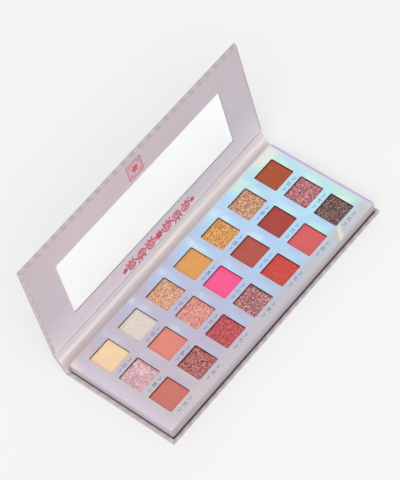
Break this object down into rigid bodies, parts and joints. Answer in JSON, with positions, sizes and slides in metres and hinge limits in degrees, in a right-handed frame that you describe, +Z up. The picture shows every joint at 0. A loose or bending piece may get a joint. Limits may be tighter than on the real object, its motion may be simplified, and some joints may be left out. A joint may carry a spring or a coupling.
{
  "type": "eyeshadow palette",
  "caption": "Book-style eyeshadow palette: wrapped board cover on a creased spine, framed mirror in the lid, and a raised tray of square pressed-powder pans.",
  "frame": {"origin": "centre of the flat underside of the base panel, with the palette standing open as stored", "axes": "+X along the palette's length, +Y towards the spine and lid, +Z up out of the tray"},
  "size_m": [0.2296, 0.1136, 0.1162],
  "materials": {
    "greyboard": "matte",
    "cover_paper": "satin",
    "plinth_board": "matte",
    "tray_core_board": "matte",
    "holographic_card": "gloss",
    "pan_tin": "satin",
    "magnet_steel": "polished",
    "lining_paper": "satin",
    "panel_card": "satin",
    "mirror_glass": "polished",
    "adhesive_sheet": "matte",
    "powder_01": "matte",
    "powder_02": "matte",
    "powder_03": "matte",
    "powder_04": "matte",
    "powder_05": "matte",
    "powder_06": "matte",
    "powder_07": "matte",
    "powder_08": "matte",
    "powder_09": "matte",
    "powder_10": "matte",
    "powder_11": "matte",
    "powder_12": "matte",
    "powder_13": "matte",
    "powder_14": "matte",
    "powder_15": "matte",
    "powder_16": "matte",
    "powder_17": "matte",
    "powder_18": "matte",
    "powder_19": "matte",
    "powder_20": "matte",
    "powder_21": "matte"
  },
  "bodies": {
    "base": {"base_board": "greyboard", "base_cover": "cover_paper", "tray_plinth": "plinth_board", "tray_floor": "greyboard", "tray_core": "tray_core_board", "tray_cover": "holographic_card", "base_magnets": "magnet_steel", "pan_01": "pan_tin", "pan_02": "pan_tin", "pan_03": "pan_tin", "pan_04": "pan_tin", "pan_05": "pan_tin", "pan_06": "pan_tin", "pan_07": "pan_tin", "pan_08": "pan_tin", "pan_09": "pan_tin", "pan_10": "pan_tin", "pan_11": "pan_tin", "pan_12": "pan_tin", "pan_13": "pan_tin", "pan_14": "pan_tin", "pan_15": "pan_tin", "pan_16": "pan_tin", "pan_17": "pan_tin", "pan_18": "pan_tin", "pan_19": "pan_tin", "pan_20": "pan_tin", "pan_21": "pan_tin", "powder_01": "powder_01", "powder_02": "powder_02", "powder_03": "powder_03", "powder_04": "powder_04", "powder_05": "powder_05", "powder_06": "powder_06", "powder_07": "powder_07", "powder_08": "powder_08", "powder_09": "powder_09", "powder_10": "powder_10", "powder_11": "powder_11", "powder_12": "powder_12", "powder_13": "powder_13", "powder_14": "powder_14", "powder_15": "powder_15", "powder_16": "powder_16", "powder_17": "powder_17", "powder_18": "powder_18", "powder_19": "powder_19", "powder_20": "powder_20", "powder_21": "powder_21"},
    "spine": {"spine_board": "greyboard", "spine_cover": "cover_paper", "spine_liner": "lining_paper"},
    "lid": {"lid_board": "greyboard", "lid_cover": "cover_paper", "lid_liner": "panel_card", "mirror": "mirror_glass", "mirror_tape": "adhesive_sheet", "lid_magnets": "magnet_steel"}
  },
  "joints": [
    {"name": "base_crease", "type": "hinge", "parent": "base", "child": "spine", "pos_m": [0, 0.0509, 0], "axis": [-1, 0, 0], "range_deg": [-25, 65]},
    {"name": "lid_crease", "type": "hinge", "parent": "spine", "child": "lid", "pos_m": [0, 0.05885, 0.01704], "axis": [-1, 0, 0], "range_deg": [-68.75, 21.25]}
  ]
}
